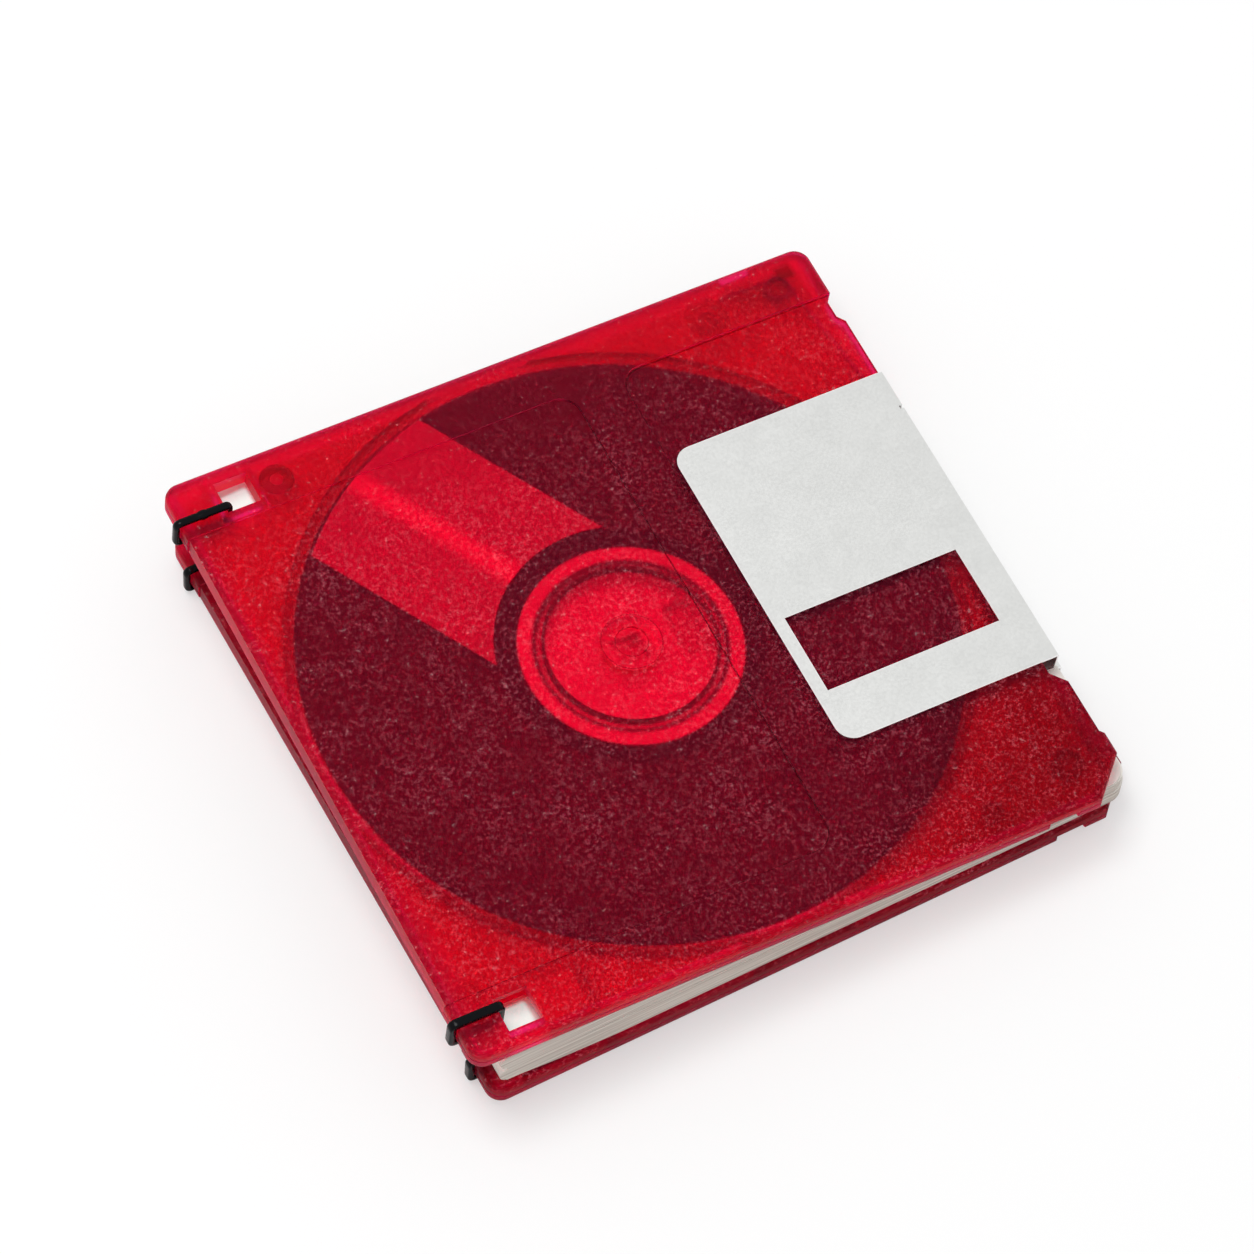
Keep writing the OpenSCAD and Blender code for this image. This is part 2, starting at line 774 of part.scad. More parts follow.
back_place() lower_shell();  // back_lower_shell
back_place() upper_shell();  // back_upper_shell
back_place() shutter();  // back_shutter
back_place() shutter_spring();  // back_shutter_spring
back_place() write_protect_slider();  // back_write_protect_slider
back_place() magnetic_disk();  // back_magnetic_disk
back_place() hub();  // back_hub
back_place() lower_liner();  // back_lower_liner
back_place() upper_liner();  // back_upper_liner
back_place() lifter();  // back_lifter
front_place() lower_shell();  // front_lower_shell
front_place() upper_shell();  // front_upper_shell
front_place() shutter();  // front_shutter
front_place() shutter_spring();  // front_shutter_spring
front_place() write_protect_slider();  // front_write_protect_slider
front_place() magnetic_disk();  // front_magnetic_disk
front_place() hub();  // front_hub
front_place() lower_liner();  // front_lower_liner
front_place() upper_liner();  // front_upper_liner
front_place() lifter();  // front_lifter
back_place() page_block();
back_place() {  // back_near_strap
  strap(protect_x, strap_near);
  strand(strap_near);
}
back_place() {  // back_far_strap
  strap(sense_x, far_y);
  strand(far_y);
}
front_place() strap(protect_x, strap_near);  // front_near_strap
front_place() strap(sense_x, far_y);  // front_far_strap
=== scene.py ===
"""Looks for the floppy disk notebook: two translucent disks with paper between them."""

import json
import math

import bpy
import numpy as np
from mathutils import Matrix, Vector


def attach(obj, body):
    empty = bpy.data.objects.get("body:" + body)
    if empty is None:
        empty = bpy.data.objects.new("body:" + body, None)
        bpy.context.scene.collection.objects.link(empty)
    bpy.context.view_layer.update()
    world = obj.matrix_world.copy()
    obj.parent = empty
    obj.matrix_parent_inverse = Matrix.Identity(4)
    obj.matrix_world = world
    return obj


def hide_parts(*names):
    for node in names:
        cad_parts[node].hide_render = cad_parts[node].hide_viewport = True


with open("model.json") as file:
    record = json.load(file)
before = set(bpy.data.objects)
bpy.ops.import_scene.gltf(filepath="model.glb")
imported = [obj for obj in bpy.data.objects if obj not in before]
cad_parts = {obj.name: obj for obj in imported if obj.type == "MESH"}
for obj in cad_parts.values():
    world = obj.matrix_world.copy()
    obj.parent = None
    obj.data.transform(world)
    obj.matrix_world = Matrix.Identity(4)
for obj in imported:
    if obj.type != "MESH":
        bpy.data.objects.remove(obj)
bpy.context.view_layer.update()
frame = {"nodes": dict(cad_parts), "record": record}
scene = bpy.context.scene

# Colours

RASPBERRY = (1, 0.022, 0.19, 1)
RASPBERRY_DEEP = (0.96, 0.01, 0.12, 1)
GLOSS_PINK = (0.45, 0.05, 0.1, 1)
# Painted glow of the frost hairs, for the light they catch
FLECK_GLOW_PINK = (0.25, 0.06, 0.08, 1)
# Painted shade on the label side, where less light comes through
SHADE_DARK = (0.04, 0.001, 0.004, 1)
SHUTTER_SILVER = (0.8, 0.805, 0.79, 1)
SHUTTER_WORN = (0.76, 0.765, 0.75, 1)
# Painted highlight along the shutter's edges
SHUTTER_EDGE_HIGHLIGHT = (1, 1, 1, 1)
HUB_SILVER = (0.95, 0.94, 0.93, 1)
HUB_SHADE = (0.12, 0.12, 0.12, 1)
FILM_BROWN = (0.02, 0.014, 0.013, 1)
LINER_WHITE = (0.75, 0.7, 0.7, 1)
LIFTER_WHITE = (0.6, 0.55, 0.55, 1)
# Painted highlight along the lifter's crease
LIFTER_CREASE_HIGHLIGHT = (1, 0.97, 0.97, 1)
SPRING_GREY = (0.45, 0.45, 0.46, 1)
PAPER_CREAM = (0.88, 0.85, 0.8, 1)
PAPER_SHADE = (0.8, 0.77, 0.72, 1)
# Painted glow on the top sheet under the covers' square holes
HOLE_LIGHT = (0.16, 0.42, 0.39, 1)
# Painted shade on the paper's cut edges, where they don't face up or down
SHADED_EDGE_PAPER = (0.6, 0.55, 0.49, 1)
SHADED_EDGE_STREAK = (0.4, 0.34, 0.3, 1)
STRAP_BLACK = (0.002, 0.002, 0.003, 1)

# Places on a cover, in millimetres

MM = 0.001
HALF_THICK = 1.65
FACE_DEPTH = 1.2
LABEL_END = 10
SHUTTER_RECESS_END = 17
RECESS_SIDE = 36.6
RECESS_ROUND = 3
SHUTTER_MIDDLE = (47.6, -0.75)
SHUTTER_HALF = (30, 23.75)
WINDOW_MIDDLE = (32, -10.95)
WINDOW_HALF = (12.6, 5.85)
CUP_RADIUS = 12.45
RIB_RADIUS = 11.3
LINER_RADIUS = 16.6
BOSS_RADIUS = 4
DIMPLE_RADIUS = 2.15
LOCATING_RING = (-30.7, 40.2)
CORNER_RING = (42.5, -38.7)
NEAR_CORNER_RING = (-41.3, -36.2)
FAR_POST = (31.9, 39.9)
SPRING_PATCH = (44.6, 42)
SPRING_SHADE = (40.5, 40.3)
FAR_HOLE = (-36.2, 40.5)
NEAR_HOLE = (-36.95, -40.65)
LIFTER_TURN = 120.5

COVERS = ("back", "front")
JOINTS = {joint["name"]: joint for joint in frame["record"]["behaviour"]["joints"]}


def cover_place(cover):
    """A cover's own axes. The origin lies on the hub's axis, half way through the cover. x runs
    from the spine to the shutter edge, y along the shutter's travel, z out of the label side."""
    travel = Vector(JOINTS[cover + "_shutter_slide"]["axis"])
    spin = Vector(JOINTS[cover + "_disk_spin"]["axis"])
    place = Matrix((travel.cross(spin), travel, spin)).transposed().to_4x4()
    place.translation = JOINTS[cover + "_disk_spin"]["pos_m"]
    return place


PLACES = {cover: cover_place(cover) for cover in COVERS}


# Materials


def node_group(name, inputs, outputs):
    """A shader node group with the named inputs and outputs, each a (name, kind, default)."""
    group = bpy.data.node_groups.new(name, "ShaderNodeTree")
    for label, kind, default in inputs:
        socket = group.interface.new_socket(label, in_out="INPUT", socket_type=kind)
        if default is not None:
            socket.default_value = default
    for label, kind in outputs:
        group.interface.new_socket(label, in_out="OUTPUT", socket_type=kind)
    return group, group.nodes.new("NodeGroupInput"), group.nodes.new("NodeGroupOutput")


def build_frost():
    """Fine frost in the plastic. Short hairs lie where a fine noise is close to its middle
    value, so along its level lines, cut into lengths by a second noise, and a painted glow
    makes them pale, for the light they catch. Round specks lie where the second noise is high.
    A coarse noise makes both gather in clouds. The fine noise also shades the colour and lifts
    the surface."""
    group, given, out = node_group(
        "frost",
        [
            ("Place", "NodeSocketVector", None),
            ("Fineness", "NodeSocketFloat", 2800.0),
            ("Hair Width", "NodeSocketFloat", 0.048),
            ("Hairs", "NodeSocketFloat", 1.0),
            ("Light", "NodeSocketColor", RASPBERRY),
            ("Deep", "NodeSocketColor", RASPBERRY_DEEP),
            ("Glow Tint", "NodeSocketColor", FLECK_GLOW_PINK),
        ],
        [
            ("Color", "NodeSocketColor"),
            ("Glow", "NodeSocketColor"),
            ("Speck", "NodeSocketFloat"),
            ("Height", "NodeSocketFloat"),
        ],
    )
    nodes, links = group.nodes, group.links

    def noise(scale, detail):
        node = nodes.new("ShaderNodeTexNoise")
        node.inputs["Scale"].default_value = scale
        node.inputs["Detail"].default_value = detail
        links.new(given.outputs["Place"], node.inputs["Vector"])
        return node

    def maths(operation, first, second, clamp=False):
        node = nodes.new("ShaderNodeMath")
        node.operation = operation
        node.use_clamp = clamp
        for socket, value in zip(node.inputs, (first, second)):
            if isinstance(value, float):
                socket.default_value = value
            else:
                links.new(value, socket)
        return node.outputs["Value"]

    fine = noise(1.0, 1.0)
    links.new(given.outputs["Fineness"], fine.inputs["Scale"])
    cut = noise(1900.0, 1.0)
    cloud = noise(140.0, 3.0)
    off = maths("ABSOLUTE", maths("SUBTRACT", fine.outputs["Fac"], 0.5), 0.0)
    ridge = maths("SUBTRACT", 1.6, maths("DIVIDE", off, given.outputs["Hair Width"]), clamp=True)
    length = maths("MULTIPLY", maths("SUBTRACT", cut.outputs["Fac"], 0.47), 9.0, clamp=True)
    speck = maths("MULTIPLY", maths("SUBTRACT", cut.outputs["Fac"], 0.7), 12.0, clamp=True)
    gather = maths("MULTIPLY", maths("SUBTRACT", cloud.outputs["Fac"], 0.2), 1.8, clamp=True)
    hair = maths("MULTIPLY", maths("MULTIPLY", ridge, length), given.outputs["Hairs"])
    hair = maths("MULTIPLY", hair, gather, clamp=True)
    glow = nodes.new("ShaderNodeMix")
    glow.data_type = "RGBA"
    glow.inputs["A"].default_value = (0, 0, 0, 1)
    links.new(hair, glow.inputs["Factor"])
    links.new(given.outputs["Glow Tint"], glow.inputs["B"])
    links.new(glow.outputs["Result"], out.inputs["Glow"])
    mix = nodes.new("ShaderNodeMix")
    mix.data_type = "RGBA"
    links.new(fine.outputs["Fac"], mix.inputs["Factor"])
    links.new(given.outputs["Deep"], mix.inputs["A"])
    links.new(given.outputs["Light"], mix.inputs["B"])
    links.new(mix.outputs["Result"], out.inputs["Color"])
    links.new(speck, out.inputs["Speck"])
    links.new(fine.outputs["Fac"], out.inputs["Height"])
    return group


def build_grain():
    """Fine grain: noise stretched along one direction, put out as a height and as a value
    between two limits."""
    group, given, out = node_group(
        "fine_grain",
        [
            ("Place", "NodeSocketVector", None),
            ("Fineness", "NodeSocketFloat", 2500.0),
            ("Low", "NodeSocketFloat", 0.3),
            ("High", "NodeSocketFloat", 0.4),
        ],
        [("Value", "NodeSocketFloat"), ("Height", "NodeSocketFloat")],
    )
    nodes, links = group.nodes, group.links
    noise = nodes.new("ShaderNodeTexNoise")
    noise.inputs["Detail"].default_value = 3.0
    links.new(given.outputs["Place"], noise.inputs["Vector"])
    links.new(given.outputs["Fineness"], noise.inputs["Scale"])
    span = nodes.new("ShaderNodeMapRange")
    span.inputs["From Min"].default_value = 0.3
    span.inputs["From Max"].default_value = 0.7
    links.new(noise.outputs["Fac"], span.inputs["Value"])
    links.new(given.outputs["Low"], span.inputs["To Min"])
    links.new(given.outputs["High"], span.inputs["To Max"])
    links.new(span.outputs["Result"], out.inputs["Value"])
    links.new(noise.outputs["Fac"], out.inputs["Height"])
    return group


def build_outline():
    """A line in plan along a rectangle with round corners, or along a circle, where the half
    sides and the round are equal. The distance to the outline is the length of what lies outside
    the inner rectangle, plus what lies inside it, less the round. The line fades over its
    width on both sides, and the fill is 1 inside."""
    group, given, out = node_group(
        "outline",
        [
            ("Place", "NodeSocketVector", None),
            ("Centre", "NodeSocketVector", None),
            ("Half", "NodeSocketVector", None),
            ("Round", "NodeSocketFloat", 0.003),
            ("Width", "NodeSocketFloat", 0.0001),
        ],
        [("Line", "NodeSocketFloat"), ("Fill", "NodeSocketFloat")],
    )
    nodes, links = group.nodes, group.links

    def put(kind, operation, *values, clamp=False):
        node = nodes.new(kind)
        node.operation = operation
        if clamp:
            node.use_clamp = True
        for socket, value in zip(node.inputs, values):
            if isinstance(value, (float, tuple)):
                socket.default_value = value
            else:
                links.new(value, socket)
        return node.outputs["Value" if operation in SCALAR else "Vector"]

    SCALAR = ("LENGTH", "MAXIMUM_OF", "MINIMUM_OF")
    vector = "ShaderNodeVectorMath"
    flat = put(vector, "MULTIPLY", given.outputs["Place"], (1.0, 1.0, 0.0))
    off = put(vector, "ABSOLUTE", put(vector, "SUBTRACT", flat, given.outputs["Centre"]))
    corner = nodes.new("ShaderNodeCombineXYZ")
    links.new(given.outputs["Round"], corner.inputs["X"])
    links.new(given.outputs["Round"], corner.inputs["Y"])
    inner = put(vector, "SUBTRACT", given.outputs["Half"], corner.outputs["Vector"])
    past = put(vector, "SUBTRACT", off, inner)
    outside = put(vector, "LENGTH", put(vector, "MAXIMUM", past, (0.0, 0.0, 0.0)))
    axes = nodes.new("ShaderNodeSeparateXYZ")
    links.new(past, axes.inputs["Vector"])

    def maths(operation, first, second, clamp=False):
        node = nodes.new("ShaderNodeMath")
        node.operation = operation
        node.use_clamp = clamp
        for socket, value in zip(node.inputs, (first, second)):
            if isinstance(value, float):
                socket.default_value = value
            else:
                links.new(value, socket)
        return node.outputs["Value"]

    inside = maths("MINIMUM", maths("MAXIMUM", axes.outputs["X"], axes.outputs["Y"]), 0.0)
    distance = maths("SUBTRACT", maths("ADD", outside, inside), given.outputs["Round"])
    shares = maths("DIVIDE", distance, given.outputs["Width"])
    line = maths("SUBTRACT", 1.0, maths("ABSOLUTE", shares, 0.0), clamp=True)
    links.new(line, out.inputs["Line"])
    links.new(maths("SUBTRACT", 0.5, shares, clamp=True), out.inputs["Fill"])
    return group


FROST = build_frost()
OUTLINE = build_outline()
GRAIN = build_grain()


class Finish:
    """A material under way: its nodes, its Principled shader and the object's own coordinates."""

    def __init__(self, name, colour, roughness, **constants):
        self.material = bpy.data.materials.new(name)
        self.material.use_nodes = True
        self.nodes = self.material.node_tree.nodes
        self.links = self.material.node_tree.links
        self.shader = self.nodes["Principled BSDF"]
        self.shader.inputs["Base Color"].default_value = colour
        self.shader.inputs["Roughness"].default_value = roughness
        for label, value in constants.items():
            self.shader.inputs[label.replace("_", " ")].default_value = value
        self.place = self.nodes.new("ShaderNodeTexCoord").outputs["Object"]

    def put(self, group, **values):
        """Places a node group, reading the object's coordinates, with its values set."""
        node = self.nodes.new("ShaderNodeGroup")
        node.node_tree = group
        self.links.new(self.place, node.inputs["Place"])
        for label, value in values.items():
            node.inputs[label].default_value = value
        return node

    def on_cover(self, cover):
        """From here on the coordinates are the cover's own."""
        local = self.nodes.new("ShaderNodeMapping")
        local.vector_type = "TEXTURE"
        local.inputs["Location"].default_value = PLACES[cover].translation
        local.inputs["Rotation"].default_value = PLACES[cover].to_euler()
        self.links.new(self.place, local.inputs["Vector"])
        self.place = local.outputs["Vector"]
        axes = self.nodes.new("ShaderNodeSeparateXYZ")
        self.links.new(self.place, axes.inputs["Vector"])
        return axes.outputs

    def maths(self, operation, first, second=0.0, clamp=False):
        """One sum, with numbers or other values."""
        node = self.nodes.new("ShaderNodeMath")
        node.operation = operation
        node.use_clamp = clamp
        for socket, value in zip(node.inputs, (first, second)):
            if isinstance(value, float):
                socket.default_value = value
            else:
                self.links.new(value, socket)
        return node.outputs["Value"]

    def span(self, value, start, end, low=0.0, high=1.0):
        """The value's place between start and end, smoothly, as a number from low to high."""
        node = self.nodes.new("ShaderNodeMapRange")
        node.interpolation_type = "SMOOTHSTEP"
        node.inputs["From Min"].default_value = start
        node.inputs["From Max"].default_value = end
        node.inputs["To Min"].default_value = low
        node.inputs["To Max"].default_value = high
        self.links.new(value, node.inputs["Value"])
        return node.outputs["Result"]

    def blend(self, first, second, factor):
        """A colour between two others."""
        mix = self.nodes.new("ShaderNodeMix")
        mix.data_type = "RGBA"
        for label, value in (("A", first), ("B", second)):
            if isinstance(value, tuple):
                mix.inputs[label].default_value = value
            else:
                self.links.new(value, mix.inputs[label])
        self.links.new(factor, mix.inputs["Factor"])
        return mix.outputs["Result"]

    def outline(self, centre, half, corner, width, face="Line"):
        """A line or a fill in plan, in millimetres on the cover."""
        node = self.put(OUTLINE, Round=corner * MM, Width=width * MM)
        node.inputs["Centre"].default_value = (centre[0] * MM, centre[1] * MM, 0)
        node.inputs["Half"].default_value = (half[0] * MM, half[1] * MM, 0)
        return node.outputs[face]

    def relief(self, height, strength, distance):
        """Feeds a height through a bump into the shader's normal."""
        bump = self.nodes.new("ShaderNodeBump")
        bump.inputs["Strength"].default_value = strength
        bump.inputs["Distance"].default_value = distance
        self.links.new(height, bump.inputs["Height"])
        self.links.new(bump.outputs["Normal"], self.shader.inputs["Normal"])


def frosted(name):
    """Frosted see-through raspberry plastic, before its colour is linked."""
    f = Finish(name, RASPBERRY, 0.48, Transmission_Weight=0.972, IOR=1.32)
    f.shader.inputs["Specular Tint"].default_value = GLOSS_PINK
    f.shader.inputs["Coat IOR"].default_value = 1.9
    f.shader.inputs["Coat Roughness"].default_value = 0.4
    return f


def frost_over(f, hairs):
    """Lays the frost on: hairs made pale by a painted glow, specks that glint as a coat, a shade
    in the colour and a relief. The hairs scatter the light in the plastic, which the painted
    glow stands for."""
    frost = f.put(FROST)
    f.links.new(hairs, frost.inputs["Hairs"])
    f.links.new(frost.outputs["Speck"], f.shader.inputs["Coat Weight"])
    # painted glow: the frost hairs glow pale pink, for the light they catch and scatter
    f.links.new(frost.outputs["Glow"], f.shader.inputs["Emission Color"])
    f.shader.inputs["Emission Strength"].default_value = 1.0
    f.relief(frost.outputs["Height"], 0.3, 0.00003)
    return frost.outputs["Color"]


def hub_side_plastic(cover):
    """The hub side of a cover, with its frost on the outer face."""
    f = frosted("hub_side_plastic_" + cover)
    x, y, z = f.on_cover(cover)
    hairs = f.maths("LESS_THAN", z, -FACE_DEPTH * MM)
    f.links.new(frost_over(f, hairs), f.shader.inputs["Base Color"])
    return f.material


# Painted shade in lines and patches on the label side, where ribs, rings, posts and the spring stand
# inside: centre, half sides, round, width, face and darkness
RECESS_HALF = 30
LABEL_SHADES = [
    ((0, 0), (BOSS_RADIUS, BOSS_RADIUS), BOSS_RADIUS, 0.16, "Line", 0.55),
    ((0, 0), (DIMPLE_RADIUS, DIMPLE_RADIUS), DIMPLE_RADIUS, 0.18, "Line", 0.55),
    ((0, 0), (0.9, 0.9), 0.9, 0.5, "Fill", 0.3),
    (LOCATING_RING, (2.15, 2.15), 2.15, 0.22, "Line", 0.6),
    (LOCATING_RING, (1.0, 1.0), 1.0, 0.22, "Line", 0.6),
    (NEAR_CORNER_RING, (1.6, 1.6), 1.6, 0.8, "Fill", 0.25),
    (SPRING_SHADE, (4.5, 1.8), 1.5, 2.5, "Fill", 0.3),
    (SPRING_PATCH, (1.3, 1.1), 0.6, 0.8, "Fill", 0.7),
]

# Posts and rings inside, which painted shade shows as darker rings: centre, inner and outer radius,
# darkness
SHADE_RINGS = [
    (LOCATING_RING, 0.95, 2.25, 0.45),
    (CORNER_RING, 0.8, 2.1, 0.5),
    (FAR_POST, 1.5, 3.0, 0.2),
]

# How deep the red is all over. The back cover lies in the front one's shade.
BASE_SHADE = {"front": 0.0, "back": 0.3}


def label_side_plastic(cover):
    """The label side of a cover. Where ribs, rings and recess edges stand, less light comes
    through, which painted shade shows on the outer face, and along the rib low down inside.
    Painted shade also deepens the red towards the cut corner, and the frost is thin along the
    far edge."""
    f = frosted("label_side_plastic_" + cover)
    x, y, z = f.on_cover(cover)
    outer = f.maths("GREATER_THAN", z, FACE_DEPTH * MM)
    hairs = f.maths("MULTIPLY", f.span(y, 0.026, 0.038, 1.0, 0.35), outer)
    # painted shade: darker towards the cut corner, and all over on the back cover
    painted_shade = f.span(f.maths("SUBTRACT", x, y), 0.046, 0.078, BASE_SHADE[cover], 0.6)
    label_half = (RECESS_HALF, RECESS_SIDE)
    label = f.outline((LABEL_END - RECESS_HALF, 0), label_half, RECESS_ROUND, 0.15)
    beside = f.span(y, 0.0362, 0.0355, 0.0, 0.8)
    painted_shade = f.maths("MAXIMUM", painted_shade, f.maths("MULTIPLY", label, beside))
    recess = f.outline((SHUTTER_RECESS_END + RECESS_HALF, 0), label_half, RECESS_ROUND, 0.2)
    beside = f.span(y, -0.034, -0.02, 0.0, 0.8)
    painted_shade = f.maths("MAXIMUM", painted_shade, f.maths("MULTIPLY", recess, beside))
    for centre, inner, outside, strength in SHADE_RINGS:
        whole = f.outline(centre, (outside, outside), outside, 0.35, "Fill")
        middle = f.outline(centre, (inner, inner), inner, 0.35, "Fill")
        ring = f.maths("MULTIPLY", f.maths("SUBTRACT", whole, middle, clamp=True), strength)
        painted_shade = f.maths("MAXIMUM", painted_shade, ring)
    for centre, half, corner, width, face, strength in LABEL_SHADES:
        shade_mark = f.maths("MULTIPLY", f.outline(centre, half, corner, width, face), strength)
        painted_shade = f.maths("MAXIMUM", painted_shade, shade_mark)
    painted_shade = f.maths("MULTIPLY", painted_shade, outer)
    # painted shade along the rib, low down in the shell
    rib = f.outline((0, 0), (RIB_RADIUS, RIB_RADIUS), RIB_RADIUS, 1.2)
    low = f.maths("LESS_THAN", z, 0.0007)
    painted_shade = f.maths("MAXIMUM", painted_shade, f.maths("MULTIPLY", rib, low))
    colour = f.blend(frost_over(f, hairs), SHADE_DARK, painted_shade)
    f.links.new(colour, f.shader.inputs["Base Color"])
    return f.material


def slider_plastic():
    """The same red, less clear."""
    f = Finish("slider_plastic", RASPBERRY_DEEP, 0.35, Transmission_Weight=0.4)
    grain = f.put(GRAIN, Low=0.3, High=0.42)
    f.links.new(grain.outputs["Value"], f.shader.inputs["Roughness"])
    return f.material


def metal(name, colour, low, high, fineness, strength):
    """Satin metal with a fine grain in its gloss."""
    f = Finish(name, colour, (low + high) / 2, Metallic=1.0)
    grain = f.put(GRAIN, Low=low, High=high, Fineness=fineness)
    f.links.new(grain.outputs["Value"], f.shader.inputs["Roughness"])
    f.relief(grain.outputs["Height"], strength, 0.00002)
    return f.material


def shutter_metal(cover):
    """Satin sheet metal with a painted highlight along its outer edge and round the window, and
    faint smears from use in its colour.
    """
    f = Finish("shutter_metal_" + cover, SHUTTER_SILVER, 0.4, Metallic=1.0)
    grain = f.put(GRAIN, Low=0.34, High=0.46, Fineness=2600.0)
    f.links.new(grain.outputs["Value"], f.shader.inputs["Roughness"])
    f.relief(grain.outputs["Height"], 0.2, 0.00002)
    smear = f.put(GRAIN, Low=0.0, High=1.0, Fineness=260.0)
    plate = f.blend(SHUTTER_SILVER, SHUTTER_WORN, smear.outputs["Value"])
    f.on_cover(cover)
    rim = f.outline(SHUTTER_MIDDLE, SHUTTER_HALF, 2.0, 0.16)
    cut = f.outline(WINDOW_MIDDLE, WINDOW_HALF, 0.3, 0.14)
    # painted highlight along the shutter's outline and the window's edge
    bright = f.maths("MULTIPLY", f.maths("MAXIMUM", rim, cut), 0.8)
    f.links.new(f.blend(plate, SHUTTER_EDGE_HIGHLIGHT, bright), f.shader.inputs["Base Color"])
    return f.material


def hub_steel(cover):
    """Pressed satin steel, with painted shade where the wall of the cup drops."""
    f = Finish("hub_steel_" + cover, HUB_SILVER, 0.36, Metallic=1.0)
    grain = f.put(GRAIN, Low=0.3, High=0.42, Fineness=1500.0)
    f.links.new(grain.outputs["Value"], f.shader.inputs["Roughness"])
    f.on_cover(cover)
    # painted shade on the cup's wall
    wall = f.outline((0, 0), (CUP_RADIUS, CUP_RADIUS), CUP_RADIUS, 0.55)
    f.links.new(f.blend(HUB_SILVER, HUB_SHADE, wall), f.shader.inputs["Base Color"])
    return f.material


def magnetic_film():
    """Dark brown film, smooth, with the faintest grain."""
    f = Finish("magnetic_film", FILM_BROWN, 0.35, Specular_IOR_Level=0.25)
    grain = f.put(GRAIN, Low=0.28, High=0.4, Fineness=900.0)
    f.links.new(grain.outputs["Value"], f.shader.inputs["Roughness"])
    return f.material


def liner_felt():
    """Thin non-woven cloth that the film shows through."""
    f = Finish("liner_felt", LINER_WHITE, 0.9)
    grain = f.put(GRAIN, Low=0.0, High=0.06, Fineness=3000.0)
    f.links.new(grain.outputs["Value"], f.shader.inputs["Alpha"])
    return f.material


def lifter_film(cover):
    """Pale springy leaf. Along its crease it presses on the roof and shows brightest, which a
    painted highlight stands for, so the colour goes by the distance from the crease line through
    the hub's axis."""
    f = Finish("lifter_film_" + cover, LIFTER_WHITE, 0.4)
    x, y, z = f.on_cover(cover)
    way = math.radians(LIFTER_TURN)
    aside = f.maths("SUBTRACT", f.maths("MULTIPLY", y, math.cos(way)),
                    f.maths("MULTIPLY", x, math.sin(way)))
    # painted highlight near the crease
    near = f.span(f.maths("ABSOLUTE", aside), 0.0026, 0.0004)
    f.links.new(f.blend(LIFTER_WHITE, LIFTER_CREASE_HIGHLIGHT, near), f.shader.inputs["Base Color"])
    return f.material


def page_paper():
    """Cream paper. The cut edges, where the surface doesn't face up or down, are greyer with painted
    shade, with fine streaks along the sheets: a noise that changes fast with height and slowly
    along. Under the covers' square holes a painted glow makes the top sheet bright."""
    f = Finish("page_paper", PAPER_CREAM, 0.75)
    squeeze = f.nodes.new("ShaderNodeMapping")
    squeeze.inputs["Scale"].default_value = (60.0, 60.0, 3200.0)
    f.links.new(f.place, squeeze.inputs["Vector"])
    lines = f.nodes.new("ShaderNodeTexNoise")
    lines.inputs["Scale"].default_value = 1.0
    lines.inputs["Detail"].default_value = 2.0
    f.links.new(squeeze.outputs["Vector"], lines.inputs["Vector"])
    shade = f.nodes.new("ShaderNodeMapRange")
    shade.inputs["From Min"].default_value = 0.35
    shade.inputs["From Max"].default_value = 0.65
    f.links.new(lines.outputs["Fac"], shade.inputs["Value"])

    facing = f.nodes.new("ShaderNodeNewGeometry")
    axes = f.nodes.new("ShaderNodeSeparateXYZ")
    f.links.new(facing.outputs["True Normal"], axes.inputs["Vector"])
    flat = f.nodes.new("ShaderNodeMath")
    flat.operation = "ABSOLUTE"
    f.links.new(axes.outputs["Z"], flat.inputs[0])
    sheet = f.blend(PAPER_SHADE, PAPER_CREAM, shade.outputs["Result"])
    edge = f.blend(SHADED_EDGE_STREAK, SHADED_EDGE_PAPER, shade.outputs["Result"])
    # painted shade: where the surface doesn't face up or down, the paper is greyer
    f.links.new(f.blend(edge, sheet, flat.outputs["Value"]), f.shader.inputs["Base Color"])
    f.relief(lines.outputs["Fac"], 0.4, 0.00005)
    f.on_cover("front")
    far = f.outline(FAR_HOLE, (2.5, 2.5), 0.5, 0.5, "Fill")
    near = f.outline(NEAR_HOLE, (2.5, 2.5), 0.5, 0.5, "Fill")
    lit = f.maths("MULTIPLY", f.maths("MAXIMUM", far, near), flat.outputs["Value"])
    # painted glow on the top sheet under the square holes
    f.links.new(f.blend((0, 0, 0, 1), HOLE_LIGHT, lit), f.shader.inputs["Emission Color"])
    f.shader.inputs["Emission Strength"].default_value = 1.0
    return f.material


def strap_black():
    """Deep black strap with a low gloss and slight unevenness."""
    f = Finish("strap_black", STRAP_BLACK, 0.2, Specular_IOR_Level=0.1)
    grain = f.put(GRAIN, Low=0.14, High=0.26, Fineness=1800.0)
    f.links.new(grain.outputs["Value"], f.shader.inputs["Roughness"])
    f.relief(grain.outputs["Height"], 0.3, 0.00004)
    return f.material


FINISHES = {
    "slider_plastic": slider_plastic(),
    "spring_steel": metal("spring_steel", SPRING_GREY, 0.3, 0.4, 1500.0, 0.1),
    "magnetic_film": magnetic_film(),
    "liner_felt": liner_felt(),
    "page_paper": page_paper(),
    "strap_black": strap_black(),
}

